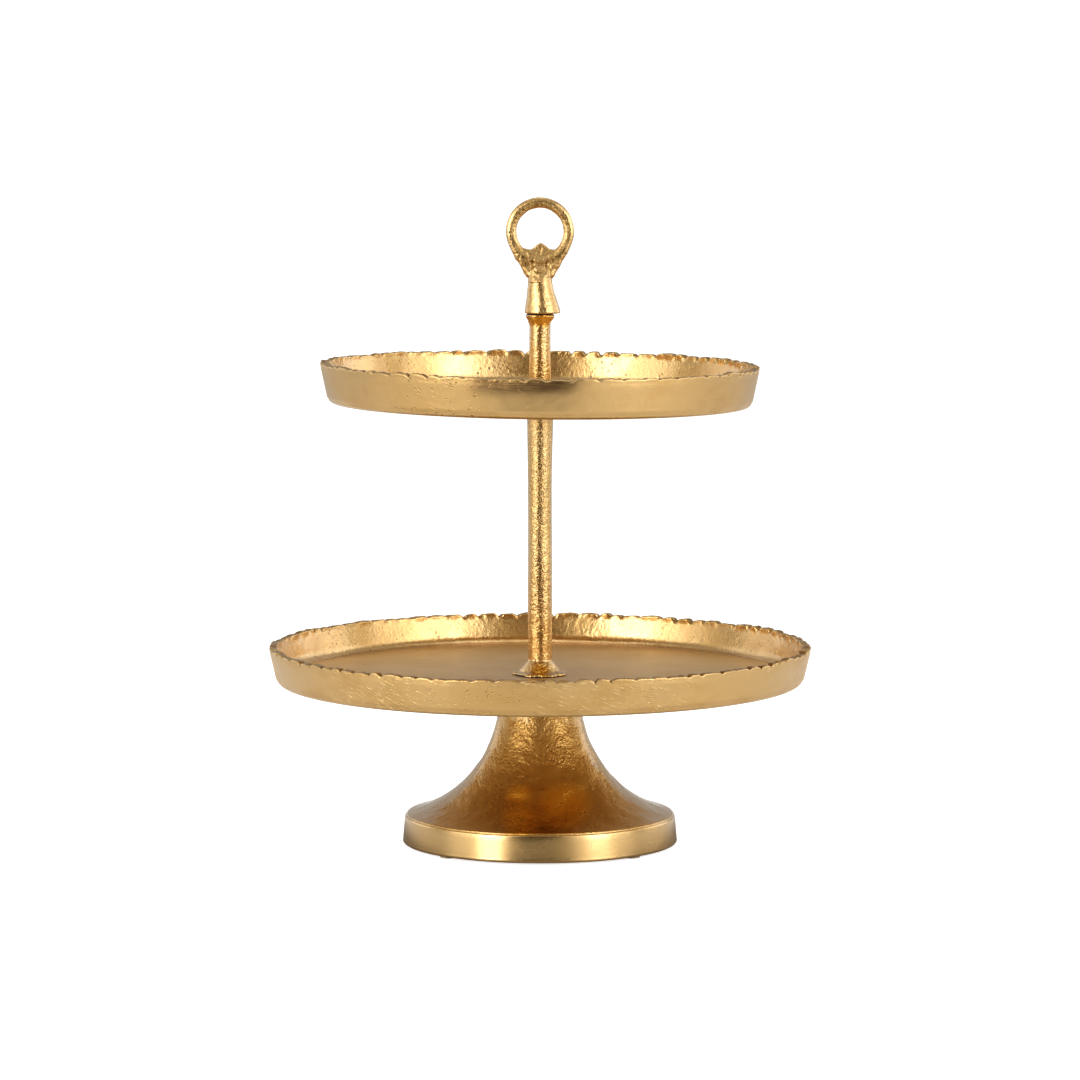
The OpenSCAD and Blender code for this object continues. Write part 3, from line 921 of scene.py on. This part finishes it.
# sinks in the web's front: (across, up, half width, half height, depth)
WEB_SINKS = [
    (-4.5, 28.8, 1.1, 2.3, 1.6), (-7.9, 27.2, 1.5, 1.3, 1.2), (3.6, 27.8, 0.8, 1.8, 1.1),
    (0.1, 36.6, 0.8, 1.6, 0.9), (7.4, 29.4, 0.9, 0.9, 0.7), (-1.0, 23.4, 1.6, 0.8, 0.5),
]
BELL_FACETS = 6
sunk = grip.verts.layers.float.new("torn")
for vert in grip.verts:
    place = vert.co.copy()
    x, z = place.x / MM, place.z / MM
    from_ring = Vector((place.x, place.z - ring_z * MM)).length / MM
    ledge = 17.3 + 3.0 * ease(x * (1 if place.y < 0 else -1), 0.5, 5)
    in_web = ease(z, ledge, ledge + 0.9) * ease(z, 38.5, 34.0)
    inner_half = ease(from_ring, ring_r + 1.2, ring_r - 1.5)
    fine = 0.10 * lumps(place, 1.9, 71) + 0.03 * lumps(place, 1.0, 72)
    if z > 34:
        raised = fine * (0.15 + 0.9 * inner_half) + 0.16 * lumps(place, 6, 73)
    else:
        raised = fine * (0.3 + 2.3 * in_web)
    raised += in_web * (0.42 * lumps(place, 3.6, 74) + 0.30)
    if z < 18:
        angle = math.atan2(place.y, place.x - BELL_SHIFT * (1 - z / 20) * MM)
        facets = math.cos(angle * BELL_FACETS + 1.1 * math.sin(angle * 2))
        raised += 0.012 * facets * ease(z, 18, 14) * ease(z, 0.2, 3)
        sandy = 0.09 * lumps(place, 2.6, 78) + 0.05 * lumps(place, 1.4, 79)
        raised += (0.15 * lumps(place, 6, 75) + sandy) * ease(z, 0.2, 2)
    for across, up, wide, high, deep in WEB_SINKS:
        side = 1 if place.y < 0 else -1
        share = ((x - side * across) / wide) ** 2 + ((z - up) / high) ** 2
        if share < 5:
            raised -= deep * math.exp(-share)
            # the sinks are painted darker as well: painted shade in the hollows
            vert[sunk] = max(vert[sunk], 0.95 * math.exp(-share))
    if z > 30:
        # dark spots painted along the middle of the ring's tube, for pits that have no shape of
        # their own
        strung = ease(abs(from_ring - ring_r + 0.5), 1.7, 0.3) * ease(z, 34, 38)
        vert[sunk] = max(vert[sunk], strung * 0.75 * ease(lumps(place, 1.8, 77), 0.05, 0.35))
    vert.co += vert.normal * (raised * MM)
    vert.co.y *= 1 - 0.34 * ease(z, ledge + 0.8, 26)
for face in grip.faces:
    centre = face.calc_center_median()
    from_ring = Vector((centre.x, centre.z - ring_z * MM)).length / MM
    polished = centre.z / MM < 18.0 or (centre.z / MM > 31 and from_ring > ring_r + 0.4)
    face.material_index = 1 if polished else 0
bmesh.ops.translate(grip, verts=grip.verts, vec=(0, 0, grip_base * MM))
grip_gold = cast_gold(
    "grip_gold", pebble=0.0014, depth=0.00025, pit=0.0024, rough_low=0.25, rough_high=0.33,
)
sandy_gold = cast_gold(
    "sandy_gold", pebble=0.0013, depth=0.00034, pit=0.0021, rough_low=0.38, rough_high=0.46,
    torn=True,
)
finished("ring_grip", grip, [sandy_gold, grip_gold], "handle", ["handle"])

stud_low, stud_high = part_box("handle_stud")
stud_shape = threaded_rod(stud_low.z, stud_high.z)
finished("grip_stud", stud_shape, [zinc_steel], "handle", ["handle_stud"])

# ---------------------------------------------------------------- studio
# A white floor with a dark wedge towards the camera. Under the stand it is painted darker, a
# painted shadow that only reflections see; where the camera sees it, it glows so that no shadow
# shows, and a glow inside the foot's ring lights the foot's hollow. Before the stand are a wide
# soft box and a hotter narrow one on each side, behind it one box on each side, and one is
# overhead.

FLOOR_R = 14
floor_shape = bmesh.new()
bmesh.ops.create_circle(floor_shape, cap_ends=True, segments=128, radius=FLOOR_R)
floor_mesh = bpy.data.meshes.new("studio_floor")
floor_shape.to_mesh(floor_mesh)
floor_shape.free()
studio_floor = bpy.data.objects.new("studio_floor", floor_mesh)
bpy.context.scene.collection.objects.link(studio_floor)
paper = Finish("studio_floor")
place = paper.place()
away = paper.node("ShaderNodeVectorMath", {"operation": "LENGTH"}, {0: place}, out=1)
floor_x, floor_y, _ = paper.split(place)
bearing = paper.node("ShaderNodeMath", {"operation": "ARCTAN2"}, {0: floor_x, 1: 0 - floor_y})
seen = paper.node("ShaderNodeLightPath", {}, {})
far = away.step(0.45, 1.7)
gap = bearing.near(-0.08, 0.52) * away.step(0.54, 0.84) * (1 - seen) * 0.97
open_floor = away.step(0.09, 0.17)
# darker under the stand where only reflections see it: a painted shadow
shadowed_white = (1 - far) * (1 - gap) * (0.92 - (1 - seen) * (0.08 + (1 - open_floor) * 0.47))
before = bearing.near(0, 1.6)
inside_foot = 1 - away.step(0.066, 0.078)
# a glow painted where the camera sees the floor, so that no shadow shows there, and for reflections
# a glow inside the foot's ring that lights its hollow
glow = seen * (0.58 + 0.42 * far) + (1 - seen) * inside_foot * 0.6
glow = glow + (1 - seen) * (1 - gap) * (open_floor * 0.04 + far * (0.42 + 0.38 * before))
matt = paper.node("ShaderNodeBsdfPrincipled", {}, {
    "Base Color": shadowed_white, "Roughness": 0.9, "Specular IOR Level": 0.1,
    "Emission Color": glow, "Emission Strength": 1.0,
})
clear = paper.node("ShaderNodeBsdfTransparent", {}, {})
from_below = paper.node("ShaderNodeNewGeometry", {}, {}, out=6)
sheet = paper.node("ShaderNodeMixShader", {}, {0: from_below, 1: matt, 2: clear})
paper.node("ShaderNodeOutputMaterial", {}, {"Surface": sheet})
floor_mesh.materials.append(paper.material)


def soft_box(name, azimuth, distance, height, size, glare, aim=0.2):
    """A rectangular light, azimuth degrees round from the camera, facing the stand."""
    data = bpy.data.lights.new(name, "AREA")
    data.shape = "RECTANGLE"
    data.size, data.size_y = size
    data.energy = glare * size[0] * size[1] * math.pi
    angle = math.radians(azimuth - 90)
    light = bpy.data.objects.new(name, data)
    light.location = (distance * math.cos(angle), distance * math.sin(angle), height)
    away = light.location - Vector((0, 0, aim))
    light.rotation_euler = away.to_track_quat("Z", "Y").to_euler()
    bpy.context.scene.collection.objects.link(light)


soft_box("box_front_right", 55, 2.6, 1.2, (3.1, 2.4), 1.2)
soft_box("box_front_left", -54, 2.6, 1.2, (3.1, 2.4), 1.2)
soft_box("hot_front_right", 50, 2.55, 0.70, (0.9, 1.4), 2.6)
soft_box("hot_front_left", -42, 2.55, 0.66, (0.9, 1.4), 3.8)
soft_box("box_back_right", 120, 2.8, 1.05, (2.2, 2.1), 1.0)
soft_box("box_back_left", -126, 2.8, 1.05, (2.0, 2.1), 0.65)
soft_box("box_top", 180, 0.5, 2.6, (1.6, 1.6), 1.0)

# the room: dark behind the camera, paler behind the stand, and white where it is seen
room = Finish("studio", bpy.data.worlds.new("studio"))
bpy.context.scene.world = room.material
sight = room.node("ShaderNodeTexCoord", {}, {}, out=0)
behind = room.node("ShaderNodeSeparateXYZ", {}, {"Vector": sight}, out=1)
tone = room.mix(behind.step(-0.96, -0.6), (0.05, 0.045, 0.04, 1), (0.44, 0.43, 0.41, 1))
walls = room.node("ShaderNodeBackground", {}, {"Color": tone})
backdrop = room.node("ShaderNodeBackground", {}, {"Color": (1, 1, 1, 1)})
by_camera = room.node("ShaderNodeLightPath", {}, {})
either = room.node("ShaderNodeMixShader", {}, {0: by_camera, 1: walls, 2: backdrop})
room.node("ShaderNodeOutputWorld", {}, {"Surface": either})
bpy.context.scene.view_settings.view_transform = "Standard"
bpy.context.scene.view_settings.look = "Medium High Contrast"

bpy.context.view_layer.update()
